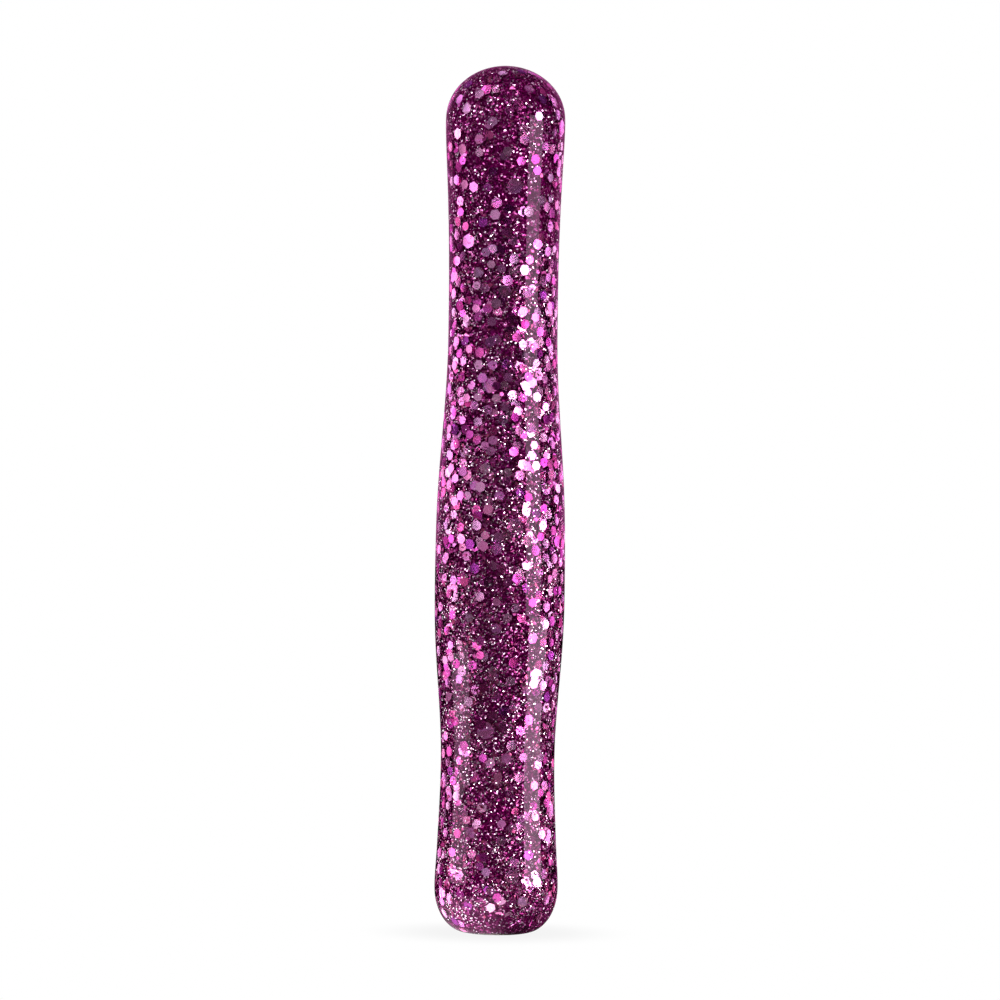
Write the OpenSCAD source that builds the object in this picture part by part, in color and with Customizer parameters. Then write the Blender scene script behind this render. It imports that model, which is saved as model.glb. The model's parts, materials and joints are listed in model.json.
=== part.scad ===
// Cast-resin craft pen handle: a slim turned outline, hexagonal glitter flakes set in the
// resin under a clear skin, and a brass threaded insert bonded into the nose.
// The handle stands on its nose. The origin is the centre of the socket's mouth, in the plane
// of the nose face, and +Z runs up the axis to the domed tail. Millimetres.

/* [Barrel outline] */
// Length over both ends
barrel_length = 100; // [96:1:120]
// Diameter of the flat face round the socket
nose_flat_d = 6.8; // [6.8:0.1:8]
// Diameter at the flare above the nose
flare_d = 14.25; // [13.5:0.05:15.5]
// Height of the flare's crest
flare_at = 5.2; // [4.5:0.1:6]
// Diameter at the finger grip
grip_d = 13.1; // [12.4:0.1:13.4]
// Height of the grip
grip_at = 20; // [17:0.5:21]
// Diameter at the swell that fills the hand
swell_d = 15; // [14:0.1:16]
// Height of the swell's middle
swell_at = 41; // [38:0.5:46]
// Diameter at the long waist
waist_d = 12.6; // [12:0.1:13]
// Height of the waist's middle
waist_at = 72; // [68:0.5:75]
// Diameter where the tail dome starts
shoulder_d = 13.8; // [13:0.1:14.5]
// Height of the tail dome itself
dome_height = 6.1; // [5.5:0.1:7]

/* [Resin layers] */
// Thickness of the clear skin over the glitter
skin_t = 0.35; // [0.25:0.05:0.5]

/* [Socket] */
// Diameter of the pocket that takes the insert
pocket_d = 6.5; // [6.4:0.1:6.6]
// Depth of the straight pocket
pocket_depth = 10.2; // [9.6:0.1:12]
// Diameter over the insert's knurls and flange
insert_d = 6.2; // [6.1:0.05:6.3]
// Length of the insert
insert_length = 9; // [8:0.5:9.5]
// Minor diameter of the insert's thread
thread_minor_d = 4.2; // [4.1:0.05:4.3]
// Major diameter of the insert's thread
thread_major_d = 5; // [4.9:0.1:5]
// Pitch of the thread
thread_pitch = 0.8; // [0.7:0.1:0.8]
// Knurl teeth round the insert
knurl_teeth = 24; // [18:1:30]

/* [Glitter] */
// Flakes of all kinds in the handle
flake_count = 360; // [60:12:420]
// Distance across the corners of an ordinary flake
flake_size = 1.25; // [0.9:0.05:1.35]
// Distance across the corners of a large flake
large_flake_size = 2; // [1.6:0.1:2.1]
// Thickness of the film that the flakes are cut from
film_t = 0.06; // [0.05:0.01:0.1]
// Steepest tilt of an ordinary flake out of the surface, in degrees
flake_tilt = 12; // [6:1:28]

/* [Hidden] */

round_fn = 96;     // facets that stand for a full circle
end_steps = 16;    // points on each rounded end
span_steps = 8;    // points between two stations of the outline

// ---- outline ----

// Stations between the rounded ends: [height, radius, slope].
shoulder_at = barrel_length - dome_height;
swell_below = 5;    // how far the swell's nearly straight stretch runs below its middle
swell_above = 6;    // and above it
waist_below = 6;    // the same for the waist
waist_above = 5;
stations = [
    [flare_at, flare_d / 2, 0],
    [flare_at + 4.5, (0.6 * flare_d + 0.4 * grip_d) / 2, -0.045],
    [grip_at, grip_d / 2, 0],
    [swell_at - swell_below, swell_d / 2 - 0.04, 0.024],
    [swell_at, swell_d / 2, 0],
    [swell_at + swell_above, swell_d / 2 - 0.06, -0.015],
    [waist_at - waist_below, waist_d / 2 + 0.05, -0.03],
    [waist_at, waist_d / 2, 0],
    [waist_at + waist_above, waist_d / 2 + 0.03, 0.012],
    [shoulder_at - 7, (0.55 * shoulder_d + 0.45 * waist_d) / 2, 0.045],
    [shoulder_at, shoulder_d / 2, 0],
];

// Radius between two stations, by a cubic that keeps both slopes.
function span_r(a, b, t) =
    let (h = b[0] - a[0])
    (2 * t^3 - 3 * t^2 + 1) * a[1] + (t^3 - 2 * t^2 + t) * h * a[2]
    + (3 * t^2 - 2 * t^3) * b[1] + (t^3 - t^2) * h * b[2];

// Number of the station at or below height z.
function span_of(z, i = 0) =
    i >= len(stations) - 2 || z < stations[i + 1][0] ? i : span_of(z, i + 1);

// Radius of the outside at height z.
function outer_r(z) =
    z < flare_at
        ? nose_flat_d / 2 + (flare_d - nose_flat_d) / 2 * sqrt(1 - (1 - z / flare_at)^2)
    : z > shoulder_at
        ? shoulder_d / 2 * sqrt(max(0, 1 - ((z - shoulder_at) / dome_height)^2))
    : let (i = span_of(z), a = stations[i], b = stations[i + 1])
      span_r(a, b, (z - a[0]) / (b[0] - a[0]));

// The outline [radius, height] from the nose face's rim to the tail, moved in by inset.
function outline(inset) = [
    for (k = [0 : end_steps])
        let (a = 90 * k / end_steps)
        [nose_flat_d / 2 + ((flare_d - nose_flat_d) / 2 - inset) * sin(a),
         flare_at - (flare_at - inset) * cos(a)],
    for (i = [0 : len(stations) - 2], k = [1 : span_steps])
        let (a = stations[i], b = stations[i + 1], t = k / span_steps)
        [span_r(a, b, t) - inset, a[0] + (b[0] - a[0]) * t],
    for (k = [1 : end_steps])
        let (a = 90 * k / end_steps)
        [(shoulder_d / 2 - inset) * cos(a), shoulder_at + (dome_height - inset) * sin(a)],
];

// ---- resin ----

// The blind pocket for the insert, with the drill's point at its end.
module pocket() {
    point_angle = 59;
    cylinder(d = pocket_d, h = pocket_depth, $fn = round_fn);
    translate([0, 0, pocket_depth])
        cylinder(d1 = pocket_d, d2 = 0, h = pocket_d / 2 / tan(point_angle), $fn = round_fn);
}

module clear_skin() {
    inside = outline(skin_t);
    section = concat(
        [[pocket_d / 2, 0]],
        outline(0),
        [for (k = [len(inside) - 1 : -1 : 0]) inside[k]],
        [[pocket_d / 2, skin_t]]);
    color([0.86, 0.62, 0.84, 0.45])
        rotate_extrude($fn = round_fn) polygon(section);
}

module glitter_core() {
    color([0.23, 0.02, 0.2])
        difference() {
            rotate_extrude($fn = round_fn) polygon(concat([[0, skin_t]], outline(skin_t)));
            pocket();
            for (i = [0 : flake_count - 1]) flake(i);
        }
}

// ---- glitter ----

// The places in every twelve along the spiral that each kind of flake takes.
ROSE = [0, 3, 5, 8];
PINK = [1, 6, 10];
MAGENTA = [2, 9];
PLUM = [4];
VIOLET = [7];
LARGE = [11];

golden_angle = 137.50776;    // turn from one flake of the spiral to the next
end_gap = 0.9;               // height at either end that holds no flake's middle
cover = 0.08;                // least resin between a flake and the clear skin

lift = rands(-0.6, 0.6, flake_count, 11);
turn = rands(-5, 5, flake_count, 23);
lean = rands(-1, 1, flake_count, 37);
bank = rands(-1, 1, flake_count, 41);
spin = rands(0, 60, flake_count, 53);
sink = rands(0, 0.35, flake_count, 67);
growth = rands(0.88, 1.06, flake_count, 79);

function is_large(i) = i % 12 == LARGE[0];
function flake_r(i) = growth[i] * (is_large(i) ? large_flake_size : flake_size) / 2;
function tilt_limit(i) = is_large(i) ? flake_tilt / 3 : flake_tilt;
function flake_z(i) =
    let (step = (barrel_length - 2 * end_gap) / flake_count)
    min(max(end_gap + (i + 0.5) * step + lift[i], end_gap), barrel_length - end_gap);

// One flake in its place on a spiral that fills the handle evenly, tilted out of the surface.
module flake(i) {
    z = flake_z(i);
    slope = (outer_r(z + 0.05) - outer_r(z - 0.05)) / 0.1;
    limit = tilt_limit(i) / sqrt(2);
    reach = flake_r(i) * sin(tilt_limit(i)) + flake_r(i)^2 / (2 * outer_r(z));
    rotate([0, 0, golden_angle * i + turn[i]])
        translate([outer_r(z), 0, z])
            rotate([0, 90 + atan(slope), 0])
                translate([0, 0, -(skin_t + cover + reach + sink[i])])
                    rotate([limit * lean[i], limit * bank[i], spin[i]])
                        cylinder(r = flake_r(i), h = film_t, center = true, $fn = 6);
}

// The flakes whose place in every twelve is in kind.
module flakes_of(kind) {
    for (i = [0 : flake_count - 1])
        if (len(search(i % 12, kind)) > 0) flake(i);
}

module rose_flakes() color([0.93, 0.5, 0.85]) flakes_of(ROSE);
module pink_flakes() color([0.97, 0.72, 0.93]) flakes_of(PINK);
module magenta_flakes() color([0.75, 0.15, 0.62]) flakes_of(MAGENTA);
module plum_flakes() color([0.48, 0.12, 0.4]) flakes_of(PLUM);
module violet_flakes() color([0.45, 0.2, 0.7]) flakes_of(VIOLET);
module large_flakes() color([0.9, 0.6, 0.88]) flakes_of(LARGE);

// ---- socket ----

flange_t = 0.9;
band_length = 2.8;    // each of the insert's two knurled bands
band_gap = 1;         // plain neck below each band
tooth_depth = 0.22;
mouth_chamfer = 0.5;

module knurl_band() {
    linear_extrude(height = band_length)
        polygon([
            for (k = [0 : 2 * knurl_teeth - 1])
                let (r = insert_d / 2 - (k % 2) * tooth_depth, a = 180 * k / knurl_teeth)
                [r * cos(a), r * sin(a)]
        ]);
}

// The insert's outside: a flange at the mouth, two knurled bands and a plain end.
module insert_outside() {
    cylinder(d = insert_d - 3 * tooth_depth, h = insert_length, $fn = round_fn);
    cylinder(d = insert_d, h = flange_t, $fn = round_fn);
    for (k = [0, 1])
        translate([0, 0, flange_t + band_gap + k * (band_length + band_gap)])
            knurl_band();
}

// One groove of the thread, starting at height z.
function groove(z) = [
    [thread_minor_d / 2, z + thread_pitch / 8],
    [thread_major_d / 2, z + thread_pitch * 7 / 16],
    [thread_major_d / 2, z + thread_pitch * 9 / 16],
    [thread_minor_d / 2, z + thread_pitch * 7 / 8],
];

// The threaded hole: ring grooves stand for the helix, between two chamfered mouths.
module thread_hole() {
    r = thread_minor_d / 2;
    turns = floor((insert_length - 2.5 * mouth_chamfer) / thread_pitch);
    first = (insert_length - turns * thread_pitch) / 2;
    section = concat(
        [[0, 0], [r + mouth_chamfer, 0], [r, mouth_chamfer]],
        [for (k = [0 : turns - 1]) each groove(first + k * thread_pitch)],
        [[r, insert_length - mouth_chamfer], [r + mouth_chamfer, insert_length],
         [0, insert_length]]);
    rotate_extrude($fn = round_fn) polygon(section);
}

module threaded_insert() {
    color([0.85, 0.66, 0.32])
        difference() {
            insert_outside();
            thread_hole();
        }
}

module insert_bond() {
    color([0.93, 0.88, 0.72, 0.8])
        difference() {
            cylinder(d = pocket_d, h = insert_length, $fn = round_fn);
            insert_outside();
        }
}

clear_skin();
glitter_core();
rose_flakes();
pink_flakes();
magenta_flakes();
plum_flakes();
violet_flakes();
large_flakes();
threaded_insert();
insert_bond();
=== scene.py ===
"""Looks for the glitter resin pen handle: a refracting resin body, metallised film flakes in
several sizes round a dark tinted core, and the CAD model's brass insert and its bond."""

import json
import math

import bmesh
import bpy
import numpy as np
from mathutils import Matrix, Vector, noise
from mathutils.bvhtree import BVHTree


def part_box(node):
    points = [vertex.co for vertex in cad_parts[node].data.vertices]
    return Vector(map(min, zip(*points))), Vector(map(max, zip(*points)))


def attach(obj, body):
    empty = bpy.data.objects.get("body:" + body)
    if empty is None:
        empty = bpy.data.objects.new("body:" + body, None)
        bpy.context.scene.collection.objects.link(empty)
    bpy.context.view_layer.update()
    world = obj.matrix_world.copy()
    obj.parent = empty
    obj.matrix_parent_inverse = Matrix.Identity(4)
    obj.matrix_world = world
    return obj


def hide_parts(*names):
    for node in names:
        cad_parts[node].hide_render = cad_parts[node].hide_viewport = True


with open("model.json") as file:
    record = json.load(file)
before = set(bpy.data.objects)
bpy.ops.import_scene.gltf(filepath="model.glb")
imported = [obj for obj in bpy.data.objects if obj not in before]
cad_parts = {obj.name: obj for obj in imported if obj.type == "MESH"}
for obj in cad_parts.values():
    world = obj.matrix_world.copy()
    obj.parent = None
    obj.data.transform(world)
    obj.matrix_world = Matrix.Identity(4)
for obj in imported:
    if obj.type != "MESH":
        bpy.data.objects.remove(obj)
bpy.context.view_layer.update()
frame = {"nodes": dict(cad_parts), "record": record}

MM = 0.001
CAD_FLAKES = sorted(name for name in frame["nodes"] if name.endswith("_flakes"))
SLOT_OF = {row["node"]: row["material_slot"] for row in frame["record"]["subparts"]}
BOND_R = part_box("insert_bond")[1].x
POCKET_DEPTH = 10.2 * MM  # from the nose face to where the drill point starts
DRILL_SLOPE = 0.6         # the drill point's height over its radius
FLAKE_T = 0.04 * MM
SPECK_T = 0.02 * MM
random = np.random.RandomState(20)


# ---- the outline, read from the CAD skin ----

def cad_outline(node):
    """Points (radius, height) on the outside of a round node, from its lowest ring to its top."""
    close = 0.02 * MM
    mesh = frame["nodes"][node].data
    tree = BVHTree.FromPolygons([v.co for v in mesh.vertices], [p.vertices for p in mesh.polygons])
    far = 2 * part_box(node)[1].x
    found = {}
    for v in mesh.vertices:
        r, z = math.hypot(v.co.x, v.co.y), v.co.z
        ring = round(z, 7)
        if r < 1e-6:
            found[ring] = (0.0, z)
            continue
        outward = Vector((v.co.x / r, v.co.y / r, 0))
        hit = tree.ray_cast(outward * far + Vector((0, 0, z)), -outward)[0]
        if hit is not None and abs(hit.xy.length - r) < close:
            found[ring] = max(found.get(ring, (0.0, 0.0)), (r, z))
    points = np.array([found[ring] for ring in sorted(found)])
    top = points[-1][1]
    return points[(points[:, 0] > 0) | (points[:, 1] > top - 1e-6)]


def distance_along(points):
    """How far along the line each of its points lies."""
    return np.concatenate([[0], np.cumsum(np.hypot(*np.diff(points, axis=0).T))])


def resampled(points, spacing):
    """The same line with points a spacing apart."""
    known = distance_along(points)
    at = np.linspace(0, known[-1], int(known[-1] / spacing) + 1)
    return np.column_stack([np.interp(at, known, points[:, k]) for k in range(points.shape[1])])


def smoothed(points, passes):
    """The line with its small kinks relaxed and its ends kept."""
    out = points.copy()
    for _ in range(passes):
        out[1:-1] = 0.5 * out[1:-1] + 0.25 * (out[:-2] + out[2:])
    return out


outline = smoothed(resampled(cad_outline("clear_skin"), 0.25 * MM), 8)
run = distance_along(outline)
length = outline[-1][1]


def on_outline(s):
    """Radius and height at distances s along the outline."""
    return np.interp(s, run, outline[:, 0]), np.interp(s, run, outline[:, 1])


def outside(s):
    """Radius, height, and the outward normal's radial and upward parts, at distances s along
    the outline."""
    step = 0.2 * MM
    r0, z0 = on_outline(np.clip(s - step, 0, run[-1]))
    r1, z1 = on_outline(np.clip(s + step, 0, run[-1]))
    r, z = on_outline(s)
    span = np.maximum(np.hypot(r1 - r0, z1 - z0), 1e-9)
    return r, z, (z1 - z0) / span, -(r1 - r0) / span


# ---- meshes ----

def new_object(name, verts, faces, smooth=False):
    """An object of these vertices and faces, in the scene."""
    mesh = bpy.data.meshes.new(name)
    mesh.from_pydata(verts, [], faces)
    mesh.validate()
    mesh.polygons.foreach_set("use_smooth", [smooth] * len(mesh.polygons))
    mesh.update()
    obj = bpy.data.objects.new(name, mesh)
    bpy.context.scene.collection.objects.link(obj)
    return obj


def revolve(name, section, sides):
    """A closed solid of revolution. The section's points (radius, height) start and end on the
    axis."""
    angles = np.arange(sides) * 2 * math.pi / sides
    rings = section[1:-1]
    points = [np.column_stack([r * np.cos(angles), r * np.sin(angles), np.full(sides, z)]) for r, z in rings]
    verts = [(0, 0, section[0][1]), *map(tuple, np.concatenate(points)), (0, 0, section[-1][1])]
    last_vert, last_ring = len(verts) - 1, len(rings) - 1

    def ring(i, k):
        """The number of vertex k on ring i."""
        return 1 + i * sides + k % sides

    faces = [(0, ring(0, k + 1), ring(0, k)) for k in range(sides)]
    for i in range(last_ring):
        faces += [(ring(i, k), ring(i, k + 1), ring(i + 1, k + 1), ring(i + 1, k)) for k in range(sides)]
    faces += [(last_vert, ring(last_ring, k), ring(last_ring, k + 1)) for k in range(sides)]
    return new_object(name, verts, faces, smooth=True)


def plates(name, centres, normals, radii, thickness, corners, spins, narrow=1.0):
    """Thin plates, one closed prism for each centre, as one object. They are regular, or
    narrower one way by the factor narrow."""
    helper = np.where(np.abs(normals[:, 2:3]) < 0.9, [[0, 0, 1.0]], [[1.0, 0, 0]])
    u = np.cross(helper, normals)
    u /= np.linalg.norm(u, axis=1)[:, None]
    v = np.cross(normals, u)
    spins = spins[:, None]
    u, v = u * np.cos(spins) + v * np.sin(spins), v * np.cos(spins) - u * np.sin(spins)
    v = v * np.asarray(narrow).reshape(-1, 1)
    angles = (np.arange(corners) + 0.5) * 2 * math.pi / corners
    corner = np.cos(angles)[:, None] * u[:, None] + np.sin(angles)[:, None] * v[:, None]
    rim = radii[:, None, None] * corner
    half = (normals * thickness / 2)[:, None]
    verts = np.concatenate([centres[:, None] + rim - half, centres[:, None] + rim + half], axis=1)
    k = np.arange(corners)
    after = (k + 1) % corners
    base = np.arange(len(centres))[:, None] * 2 * corners
    side = np.stack([k, after, after + corners, k + corners], axis=1)
    sides = (base[:, :, None] + side[None]).reshape(-1, 4)
    tops, bottoms = base + corners + k, base + k[::-1]
    faces = [*map(tuple, sides), *map(tuple, tops), *map(tuple, bottoms)]
    return new_object(name, verts.reshape(-1, 3), faces)


# ---- where the flakes lie ----

def turned(r, z, angle):
    """Points at these radii and heights, turned about the axis by these angles."""
    return np.column_stack([r * np.cos(angle), r * np.sin(angle), z])


def leaned(normals, lean, way):
    """The normals leaned over by the angle lean, each towards its own way round."""
    across = np.cross(normals, [[0, 0, 1.0]])
    across /= np.maximum(np.linalg.norm(across, axis=1), 1e-9)[:, None]
    along = np.cross(normals, across)
    aside = across * np.cos(way)[:, None] + along * np.sin(way)[:, None]
    return normals * np.cos(lean)[:, None] + aside * np.sin(lean)[:, None]


def scattered(count, depths, leans, density):
    """Centres and normals for count flakes all round under the outside. depths(n) and leans(n)
    draw n of each, and density(h) is how closely flakes lie at heights h from 0 to 1."""
    s = np.linspace(0, run[-1], 4000)
    r, z = outside(s)[:2]
    share = np.cumsum(r * density(z / length))
    at = np.interp(random.rand(count) * share[-1], share, s)
    turn = random.rand(count) * 2 * math.pi
    r, z, nr, nz = outside(at)
    deep = depths(count)
    centres = turned(r - deep * nr, z - deep * nz, turn)
    lean = leans(count)
    way = random.rand(count) * 2 * math.pi
    return centres, leaned(turned(nr, nz, turn), lean, way)


def patchy(points, size):
    """Which of the points to keep so that they lie in loose patches of about this size."""
    field = np.array([noise.noise(Vector(p) / size) for p in points])
    return random.rand(len(points)) < np.clip(0.75 + field, 0.3, 1)


def crosses(one, other):
    """Whether two flakes, each (centre, normal, radius), are so close that they could cut
    through each other."""
    (centre, normal, radius), (other_centre, other_normal, other_radius) = one, other
    gap = centre - other_centre
    facing = other_normal if other_normal.dot(normal) > 0 else -other_normal
    mean = (normal + facing).normalized()
    deep = abs(gap.dot(mean))
    wide = (gap - mean * gap.dot(mean)).length
    lean = (normal - facing).length
    reach = radius + other_radius
    return wide < 0.88 * reach and deep < FLAKE_T + 0.5 * reach * lean


def clear_of(discs, centres, normals, radii):
    """Which of the new flakes cross neither a disc nor each other."""
    cell = 2.4 * MM
    steps = (-1, 0, 1)
    grid = {}

    def key(p):
        return int(p[0] // cell), int(p[1] // cell), int(p[2] // cell)

    for disc in discs:
        grid.setdefault(key(disc[0]), []).append(disc)
    keep = []
    for i, (centre, normal, radius) in enumerate(zip(centres, normals, radii)):
        new = (Vector(centre), Vector(normal), radius)
        x, y, z = key(centre)
        near = [d for a in steps for b in steps for c in steps for d in grid.get((x + a, y + b, z + c), ())]
        if not any(crosses(new, disc) for disc in near):
            keep.append(i)
            grid.setdefault((x, y, z), []).append(new)
    return np.array(keep)


def flake_discs(node):
    """Centre, normal and radius of each flake in a CAD node."""
    bm = bmesh.new()
    bm.from_mesh(frame["nodes"][node].data)
    bmesh.ops.remove_doubles(bm, verts=bm.verts, dist=1e-6)
    seen, found = set(), []
    for start in bm.verts:
        if start in seen:
            continue
        island, todo = [], [start]
        seen.add(start)
        while todo:
            v = todo.pop()
            island.append(v)
            new = {e.other_vert(v) for e in v.link_edges} - seen
            seen |= new
            todo += new
        centre = sum((v.co for v in island), Vector()) / len(island)
        face = max((f for v in island for f in v.link_faces), key=lambda f: f.calc_area())
        found.append((centre, face.normal.copy(), max((v.co - centre).length for v in island)))
    bm.free()
    return found


# ---- shader nodes that several materials and the stage share ----

def material(name):
    """A new material, its node tree and its Principled shader."""
    mat = bpy.data.materials.new(name)
    mat.use_nodes = True
    return mat, mat.node_tree, mat.node_tree.nodes["Principled BSDF"]


def object_coords(nt):
    """The place on the object, in its own metres."""
    return nt.nodes.new("ShaderNodeTexCoord").outputs["Object"]


def ranged(nt, value, off, on, low=0.0, high=1.0, curve="LINEAR"):
    """A value that goes from off to on as the given one goes from low to high."""
    node = nt.nodes.new("ShaderNodeMapRange")
    node.interpolation_type = curve
    node.inputs["From Min"].default_value = low
    node.inputs["From Max"].default_value = high
    node.inputs["To Min"].default_value = off
    node.inputs["To Max"].default_value = on
    nt.links.new(value, node.inputs["Value"])
    return node.outputs["Result"]


def maths(nt, operation, a, b):
    """The result of the operation on two values."""
    node = nt.nodes.new("ShaderNodeMath")
    node.operation = operation
    nt.links.new(a, node.inputs[0])
    nt.links.new(b, node.inputs[1])
    return node.outputs["Value"]


def noise_value(nt, vector, scale):
    """Soft noise of this scale."""
    node = nt.nodes.new("ShaderNodeTexNoise")
    node.inputs["Scale"].default_value = scale
    node.inputs["Detail"].default_value = 2
    nt.links.new(vector, node.inputs["Vector"])
    return node.outputs["Fac"]


def two_tones(nt, factor, dark, light):
    """A colour between dark and light."""
    node = nt.nodes.new("ShaderNodeMix")
    node.data_type = "RGBA"
    node.inputs["A"].default_value = (*dark, 1)
    node.inputs["B"].default_value = (*light, 1)
    nt.links.new(factor, node.inputs["Factor"])
    return node.outputs["Result"]


# ---- materials ----

def resin_clear():
    """Clear polished resin with the faintest waves in its surface. The tint above 1 strengthens
    its reflection, and the lights that it mirrors are dimmed to match, which keeps the highlight
    free of grain."""
    mat, nt, bsdf = material("resin_clear")
    bsdf.inputs["Base Color"].default_value = (0.97, 0.90, 0.95, 1)
    bsdf.inputs["Transmission Weight"].default_value = 1
    bsdf.inputs["IOR"].default_value = 1.5
    bsdf.inputs["Roughness"].default_value = 0.02
    bsdf.inputs["Specular IOR Level"].default_value = 0.3
    bsdf.inputs["Specular Tint"].default_value = (2.7, 1.6, 2.35, 1)
    bump = nt.nodes.new("ShaderNodeBump")
    bump.inputs["Strength"].default_value = 0.03
    bump.inputs["Distance"].default_value = 0.0004
    nt.links.new(noise_value(nt, object_coords(nt), 120), bump.inputs["Height"])
    nt.links.new(bump.outputs["Normal"], bsdf.inputs["Normal"])
    return mat


def film(name, colour, spread=0.12, roughness=0.23, metal=1.0):
    """Metallised film: its hue and brightness change a little from flake to flake, and it is a
    little redder towards the nose than towards the tail."""
    mat, nt, bsdf = material(name)
    flake = nt.nodes.new("ShaderNodeNewGeometry").outputs["Random Per Island"]
    scramble = nt.nodes.new("ShaderNodeTexWhiteNoise")
    scramble.noise_dimensions = "1D"
    nt.links.new(flake, scramble.inputs["W"])
    place = nt.nodes.new("ShaderNodeSeparateXYZ")
    nt.links.new(object_coords(nt), place.inputs["Vector"])
    hue_by_flake = ranged(nt, flake, 0.5 - spread / 4, 0.5 + spread / 4)
    hue_by_height = ranged(nt, place.outputs["Z"], 0.009, -0.006, high=length)
    brightness = ranged(nt, scramble.outputs["Value"], 1 - 2.5 * spread, 1 + spread)
    shift = nt.nodes.new("ShaderNodeHueSaturation")
    shift.inputs["Color"].default_value = (*colour, 1)
    nt.links.new(maths(nt, "ADD", hue_by_flake, hue_by_height), shift.inputs["Hue"])
    nt.links.new(brightness, shift.inputs["Value"])
    nt.links.new(shift.outputs["Color"], bsdf.inputs["Base Color"])
    bsdf.inputs["Metallic"].default_value = metal
    bsdf.inputs["Roughness"].default_value = roughness
    return mat


def dust_colour(nt, level):
    """The dust's colour: each stop holds from its level to the next one's."""
    ramp = nt.nodes.new("ShaderNodeValToRGB")
    stops = ramp.color_ramp
    stops.interpolation = "CONSTANT"
    stops.elements[0].position = 0.0
    stops.elements[0].color = (0.08, 0.0004, 0.04, 1)
    stops.elements[1].position = 0.94
    stops.elements[1].color = (0.85, 0.50, 0.76, 1)
    stops.elements.new(0.38).color = (0.105, 0.001, 0.055, 1)
    stops.elements.new(0.70).color = (0.23, 0.018, 0.125, 1)
    stops.elements.new(0.84).color = (0.45, 0.08, 0.30, 1)
    nt.links.new(level, ramp.inputs["Fac"])
    return ramp.outputs["Color"]


def dust_normal(nt, cell_colour):
    """The surface's normal, thrown a different way in each cell."""
    spread = nt.nodes.new("ShaderNodeVectorMath")
    spread.operation = "MULTIPLY_ADD"
    spread.inputs[1].default_value = (0.8, 0.8, 0.8)
    spread.inputs[2].default_value = (-0.4, -0.4, -0.4)
    lean = nt.nodes.new("ShaderNodeVectorMath")
    lean.operation = "ADD"
    unit = nt.nodes.new("ShaderNodeVectorMath")
    unit.operation = "NORMALIZE"
    nt.links.new(cell_colour, spread.inputs[0])
    nt.links.new(spread.outputs["Vector"], lean.inputs[0])
    nt.links.new(nt.nodes.new("ShaderNodeNewGeometry").outputs["Normal"], lean.inputs[1])
    nt.links.new(lean.outputs["Vector"], unit.inputs[0])
    return unit.outputs["Vector"]


def core_resin():
    """Dark plum resin, full of glitter dust: each cell of the dust faces its own way, and only
    the brighter ones are metal."""
    mat, nt, bsdf = material("resin_plum")
    grains = nt.nodes.new("ShaderNodeTexVoronoi")
    grains.inputs["Scale"].default_value = 5500
    nt.links.new(object_coords(nt), grains.inputs["Vector"])
    split = nt.nodes.new("ShaderNodeSeparateColor")
    nt.links.new(grains.outputs["Color"], split.inputs["Color"])
    level = split.outputs["Red"]
    nt.links.new(dust_colour(nt, level), bsdf.inputs["Base Color"])
    nt.links.new(ranged(nt, level, 0.0, 1.0, 0.69, 0.70), bsdf.inputs["Metallic"])
    nt.links.new(dust_normal(nt, grains.outputs["Color"]), bsdf.inputs["Normal"])
    bsdf.inputs["Roughness"].default_value = 0.3
    bsdf.inputs["Specular IOR Level"].default_value = 0
    return mat


def brass():
    """Turned brass: fine rings of rougher and smoother, darker and lighter metal."""
    mat, nt, bsdf = material("brass_turned")
    stretch = nt.nodes.new("ShaderNodeMapping")
    stretch.inputs["Scale"].default_value = (400, 400, 9000)
    nt.links.new(object_coords(nt), stretch.inputs["Vector"])
    rings = noise_value(nt, stretch.outputs["Vector"], 1)
    nt.links.new(two_tones(nt, rings, (0.72, 0.50, 0.20), (0.86, 0.66, 0.33)), bsdf.inputs["Base Color"])
    nt.links.new(ranged(nt, rings, 0.18, 0.42), bsdf.inputs["Roughness"])
    bsdf.inputs["Metallic"].default_value = 1
    return mat


def epoxy():
    """Cured adhesive, a little cloudy."""
    mat, nt, bsdf = material("epoxy_cured")
    clouds = noise_value(nt, object_coords(nt), 900)
    nt.links.new(two_tones(nt, clouds, (0.62, 0.52, 0.34), (0.80, 0.73, 0.56)), bsdf.inputs["Base Color"])
    bsdf.inputs["Roughness"].default_value = 0.18
    return mat


FILMS = {
    "rose_film": film("film_rose", (0.84, 0.24, 0.65)),
    "pink_film": film("film_pink", (0.90, 0.38, 0.76)),
    "magenta_film": film("film_magenta", (0.66, 0.09, 0.42)),
    "plum_film": film("film_plum", (0.26, 0.02, 0.16)),
    "violet_film": film("film_violet", (0.25, 0.03, 0.24), spread=0.06),
}
SPECKS = {
    "pearl": film("specks_pearl", (0.98, 0.78, 0.92), spread=0.03, roughness=0.12),
    "pink": film("specks_pink", (0.74, 0.32, 0.58), spread=0.06, roughness=0.16),
    "rose": film("specks_rose", (0.34, 0.038, 0.185), roughness=0.2, metal=0.7),
    "magenta": film("specks_magenta", (0.24, 0.006, 0.13), roughness=0.2, metal=0.5),
}


def dress(obj, mat):
    """The object, with this material and no other."""
    obj.data.materials.clear()
    obj.data.materials.append(mat)
    return obj


# ---- pieces ----

def pocket_line(r, top, bottom):
    """The section of a drilled pocket, from the drill point's tip down its wall."""
    return resampled(np.array([(0, top + r * DRILL_SLOPE), (r, top), (r, bottom)]), 0.4 * MM)


def resin_body():
    """The clear casting: the whole outside, with the insert's pocket bored into the nose."""
    gap = 0.02 * MM
    pocket = pocket_line(BOND_R + gap, POCKET_DEPTH, 0)
    obj = revolve("clear_casting", np.vstack([pocket, resampled(outline, 0.3 * MM)]), 192)
    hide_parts("clear_skin")
    return dress(obj, resin_clear())


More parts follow.
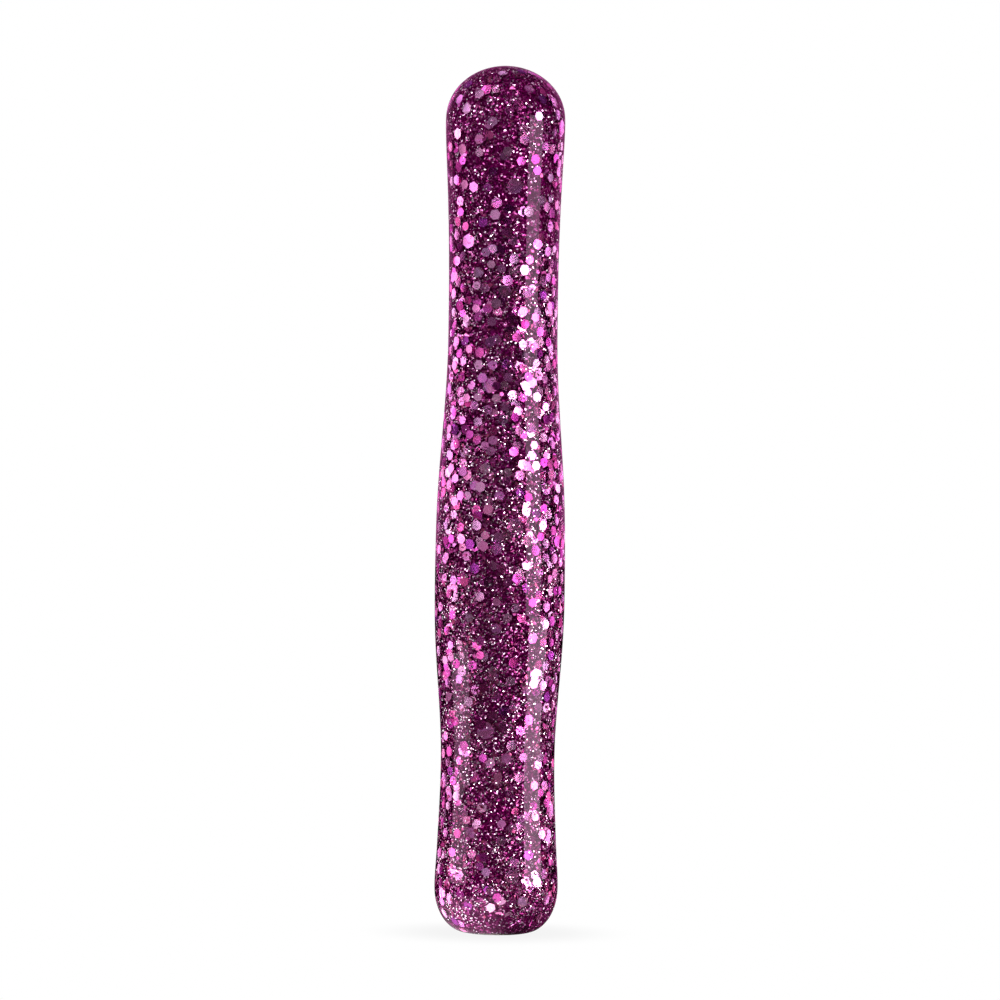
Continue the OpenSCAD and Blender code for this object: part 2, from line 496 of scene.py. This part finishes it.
def plum_core():
    """The dark middle of the casting, under all the flakes that can be told apart."""
    wall = 0.5 * MM
    pocket_r = BOND_R + wall
    s = np.linspace(0, run[-1], 300)
    inset = np.interp(s, [2.5 * MM, 7 * MM], [0.5 * MM, 1.5 * MM])
    r, z, nr, nz = outside(s)
    shell = np.column_stack([r - inset * nr, z - inset * nz])
    shell = shell[(shell[:, 1] > length / 2) | (shell[:, 0] > pocket_r)]
    shell[:, 0] = np.maximum(shell[:, 0], 0)
    pocket = pocket_line(pocket_r, POCKET_DEPTH + wall, shell[0][1])
    obj = revolve("plum_core", np.vstack([pocket, shell]), 128)
    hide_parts("glitter_core")
    return dress(obj, core_resin())


def mid_flakes(discs):
    """The rest of the chunky hexagons, of every film, between and under the CAD's own. There are
    fewer at the front than at the sides and back. One in eight leans by up to 24 degrees, and
    the others by up to 7."""
    count = 3600
    sizes = (0.50, 0.64)  # radii in mm

    def density(h):
        return np.interp(h, [0, 0.1, 0.25, 0.40, 0.46, 0.70, 0.82, 1],
                         [0.5, 0.4, 0.35, 0.5, 1.0, 1.0, 0.25, 0.22])

    def depths(n):
        return (0.42 + 0.95 * random.rand(n) ** 1.3) * MM

    def leans(n):
        return np.radians(np.where(random.rand(n) < 0.12, 24, 7)) * random.rand(n)

    centres, normals = scattered(count, depths, leans, density)
    from_front = np.degrees(np.abs(np.arctan2(centres[:, 0], -centres[:, 1])))
    keep = random.rand(count) < np.interp(from_front, [35, 60], [0.32, 1.0])
    centres, normals = centres[keep], normals[keep]
    radii = random.uniform(*sizes, len(centres)) * MM
    keep = clear_of(discs, centres, normals, radii)
    centres, normals, radii = centres[keep], normals[keep], radii[keep]
    spins = random.rand(len(keep)) * math.pi
    shares = {"rose": 0.42, "pink": 0.14, "magenta": 0.26, "plum": 0.15, "violet": 0.03}
    kinds = random.choice(len(shares), len(keep), p=list(shares.values()))
    for k, name in enumerate(shares):
        mine = kinds == k
        obj = plates(name + "_flakes_fill", centres[mine], normals[mine], radii[mine],
                     FLAKE_T, 6, spins[mine])
        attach(dress(obj, FILMS[name + "_film"]), "root")


def fine_glitter():
    """The dust-fine glitter: square specks and small hexagons in loose patches. Part of each
    kind lies nearly flat under the surface, and the rest leans by up to 25 degrees."""
    kinds = [
        # name, count, radii in mm, depths in mm, share lying flat, corners, slot, material
        ("fine_glitter_pearl", 22000, (0.065, 0.105), (0.38, 0.85), 0.1, 4, "pink_film", "pearl"),
        ("fine_glitter_pink", 13500, (0.065, 0.12), (0.42, 1.00), 0.4, 4, "pink_film", "pink"),
        ("fine_glitter_rose", 16500, (0.08, 0.14), (0.50, 1.20), 0.6, 4, "rose_film", "rose"),
        ("fine_glitter_dark", 14000, (0.08, 0.14), (0.70, 1.45), 0.6, 4, "magenta_film", "magenta"),
        ("small_flakes", 3600, (0.14, 0.26), (0.60, 1.30), 0.7, 6, "rose_film", "rose"),
    ]

    def density(h):
        return np.interp(h, [0, 0.35, 0.5, 0.72, 0.84, 1], [0.85, 0.85, 0.8, 0.62, 0.22, 0.45])

    for name, count, sizes, layer, flat, corners, slot, specks in kinds:
        centres, normals = scattered(
            count,
            lambda n: random.uniform(*layer, n) * MM,
            lambda n: np.radians(np.where(random.rand(n) < flat, 8, 25)) * random.rand(n) ** 0.5,
            density)
        kept = patchy(centres, 3.5 * MM)
        centres, normals = centres[kept], normals[kept]
        radii = random.uniform(*sizes, len(centres)) * MM
        spins = random.rand(len(centres)) * math.pi
        narrow = random.uniform(0.5, 1.0, len(centres)) if corners == 4 else 1.0
        obj = plates(name, centres, normals, radii, SPECK_T, corners, spins, narrow)
        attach(dress(obj, SPECKS[specks]), "root")


# ---- stage ----

BACK = (-0.342, 0.94, 0)     # away from the camera, a little to its left
LEFT = (-0.82, -0.572, 0)    # to the camera's left and towards it
RIGHT = (0.82, 0.572, 0)     # the other way from LEFT


def by_ray(nt):
    """Two mixes: the first's B is what the camera sees, the second's B is what rays that leave
    the resin see, and its A is what all other rays see."""
    path = nt.nodes.new("ShaderNodeLightPath")
    through = nt.nodes.new("ShaderNodeMix")
    mix = nt.nodes.new("ShaderNodeMix")
    for node in (through, mix):
        node.data_type = "RGBA"
    nt.links.new(path.outputs["Is Transmission Ray"], through.inputs["Factor"])
    nt.links.new(path.outputs["Is Camera Ray"], mix.inputs["Factor"])
    nt.links.new(through.outputs["Result"], mix.inputs["A"])
    return mix, through


def radial(nt, low, high, near, far):
    """A value that goes from near to far as the distance from the handle goes from low to high."""
    distance = nt.nodes.new("ShaderNodeVectorMath")
    distance.operation = "LENGTH"
    nt.links.new(object_coords(nt), distance.inputs[0])
    return ranged(nt, distance.outputs["Value"], near, far, low, high, "SMOOTHERSTEP")


def aimed(nt, vector, way, low, high, off, on):
    """A value that goes from off to on as the vector turns to face way, and as the cosine of the
    angle between them goes from low to high."""
    unit = nt.nodes.new("ShaderNodeVectorMath")
    unit.operation = "NORMALIZE"
    dot = nt.nodes.new("ShaderNodeVectorMath")
    dot.operation = "DOT_PRODUCT"
    dot.inputs[1].default_value = way
    nt.links.new(vector, unit.inputs[0])
    nt.links.new(unit.outputs["Vector"], dot.inputs[0])
    return ranged(nt, dot.outputs["Value"], off, on, low, high, "SMOOTHSTEP")


def white_floor():
    """A white floor that fades into the white background, with a faint painted shadow under the nose.
    The resin mirrors only the part near the handle and to its left. Through the resin the floor
    is bright at the back and, near the handle, to both sides."""
    floor = new_object("floor", [(-3, -3, 0), (3, -3, 0), (3, 3, 0), (-3, 3, 0)], [(0, 1, 2, 3)])
    floor.location.z = -0.02 * MM
    mat, nt, bsdf = material("floor_white")
    glow, through = by_ray(nt)
    place = object_coords(nt)
    # Painted shadow: the camera sees the floor as emitted white, dimmed to 0.90 under the nose and back to
    # 1.0 at 18 mm.
    nt.links.new(radial(nt, 3 * MM, 18 * MM, 0.90, 1.0), glow.inputs["B"])
    near = radial(nt, 18 * MM, 34 * MM, 1.0, 0.02)
    mirrored = maths(nt, "MULTIPLY", near, aimed(nt, place, LEFT, 0.2, 0.8, 0.02, 0.35))
    nt.links.new(mirrored, through.inputs["A"])
    back = aimed(nt, place, BACK, -0.05, 0.6, 0.04, 2.5)
    back = maths(nt, "ADD", back, radial(nt, 30 * MM, 80 * MM, 0.4, 0.0))
    left = aimed(nt, place, LEFT, 0.2, 0.8, 0.0, 3.0)
    right = aimed(nt, place, RIGHT, 0.3, 0.9, 0.0, 2.5)
    sides = maths(nt, "MULTIPLY", near, maths(nt, "ADD", left, right))
    nt.links.new(maths(nt, "ADD", back, sides), through.inputs["B"])
    nt.links.new(glow.outputs["Result"], bsdf.inputs["Emission Color"])
    bsdf.inputs["Emission Strength"].default_value = 1
    bsdf.inputs["Base Color"].default_value = (0, 0, 0, 1)
    bsdf.inputs["Roughness"].default_value = 0.9
    bsdf.inputs["Specular IOR Level"].default_value = 0
    dress(floor, mat)


def studio():
    """A white background. Through the resin it is bright at the back and low down, and to the
    left. What the resin mirrors of it is dim and orchid, and lies behind the handle."""
    world = bpy.data.worlds.new("studio")
    bpy.context.scene.world = world
    world.use_nodes = True
    nt = world.node_tree
    colour, through = by_ray(nt)
    way = nt.nodes.new("ShaderNodeTexCoord").outputs["Generated"]
    colour.inputs["B"].default_value = (1, 1, 1, 1)
    low_down = aimed(nt, way, (0, 0, 1), 0.25, 0.7, 1.0, 0.3)
    back = maths(nt, "MULTIPLY", low_down, aimed(nt, way, BACK, -0.05, 0.6, 0.03, 3.5))
    left = aimed(nt, way, LEFT, 0.55, 0.95, 0.0, 0.6)
    nt.links.new(maths(nt, "ADD", back, left), through.inputs["B"])
    behind = maths(nt, "MULTIPLY", low_down, aimed(nt, way, (0, 1, 0), 0.4, 0.9, 0.002, 0.35))
    orchid = nt.nodes.new("ShaderNodeVectorMath")
    orchid.operation = "SCALE"
    orchid.inputs[0].default_value = (1, 0.25, 0.72)
    nt.links.new(behind, orchid.inputs["Scale"])
    nt.links.new(orchid.outputs["Vector"], through.inputs["A"])
    nt.links.new(colour.outputs["Result"], nt.nodes["Background"].inputs["Color"])


def area_light(name, size, radiance, location, rotation, mirrored):
    """A rectangular light. One that isn't mirrored lights the flakes through the resin, but
    makes no highlight on its surface."""
    width, height = size
    light = bpy.data.lights.new(name, "AREA")
    light.shape = "RECTANGLE"
    light.size, light.size_y = width, height
    light.energy = radiance * math.pi * width * height
    obj = bpy.data.objects.new(name, light)
    obj.location = location
    obj.rotation_euler = rotation
    bpy.context.scene.collection.objects.link(obj)
    obj.visible_camera = False
    obj.visible_glossy = mirrored


def softbox(name, azimuth, wide, height, middle, radiance, mirrored=True):
    """An upright light, wide degrees across, that faces the axis from this azimuth. 0 is the
    camera's side and 90 its right. One that isn't mirrored stands just behind the others."""
    distance = 0.15 if mirrored else 0.155
    width = 2 * distance * math.tan(math.radians(wide / 2))
    turn = math.radians(azimuth)
    location = (distance * math.sin(turn), -distance * math.cos(turn), middle)
    area_light(name, (width, height), radiance, location, (math.radians(90), 0, turn), mirrored)


def lights():
    """The two strips on the right and the card on the left draw the highlights. The glows and
    the overhead light are there for the flakes."""
    # name, azimuth, degrees wide, height, height of its middle, radiance
    softbox("strip_upper", 61, 30, 0.087, 0.0715, 0.9)
    softbox("strip_lower", 73.5, 39, 0.028, 0.014, 1.4)
    softbox("strip_upper_glow", 61, 30, 0.087, 0.0715, 11.0, mirrored=False)
    softbox("strip_lower_glow", 73.5, 39, 0.028, 0.014, 19.0, mirrored=False)
    softbox("card_left", -77, 40, 0.014, 0.007, 0.6)
    softbox("card_left_glow", -74, 47, 0.03, 0.015, 5.0, mirrored=False)
    softbox("card_right_glow", 125, 40, 0.065, 0.042, 2.6, mirrored=False)
    area_light("overhead", (0.5, 0.21), 15.0, (-0.07, -0.30, 0.50), (math.radians(33), 0, 0), mirrored=False)


def camera():
    """Level with the middle of the handle, with the small roll of a hand-held shot."""
    distance = 0.52
    share_of_frame = 0.8665
    frame_width = length / share_of_frame
    sensor_width = 36
    cam = bpy.data.cameras.new("camera")
    cam.sensor_width = sensor_width
    cam.lens = sensor_width * distance / frame_width
    obj = bpy.data.objects.new("camera", cam)
    obj.location = (-0.1 * MM, -distance, length / 2 - 0.1 * MM)
    obj.rotation_euler = (math.radians(90), math.radians(-0.72), 0)
    bpy.context.scene.collection.objects.link(obj)
    bpy.context.scene.camera = obj


# ---- the whole ----

bpy.context.scene.view_settings.view_transform = "Standard"

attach(resin_body(), "root")
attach(plum_core(), "root")
discs = [disc for node in CAD_FLAKES for disc in flake_discs(node)]
for node in CAD_FLAKES:
    dress(frame["nodes"][node], FILMS[SLOT_OF[node]])
dress(frame["nodes"]["threaded_insert"], brass())
dress(frame["nodes"]["insert_bond"], epoxy())
mid_flakes(discs)
fine_glitter()
white_floor()
studio()
lights()
camera()
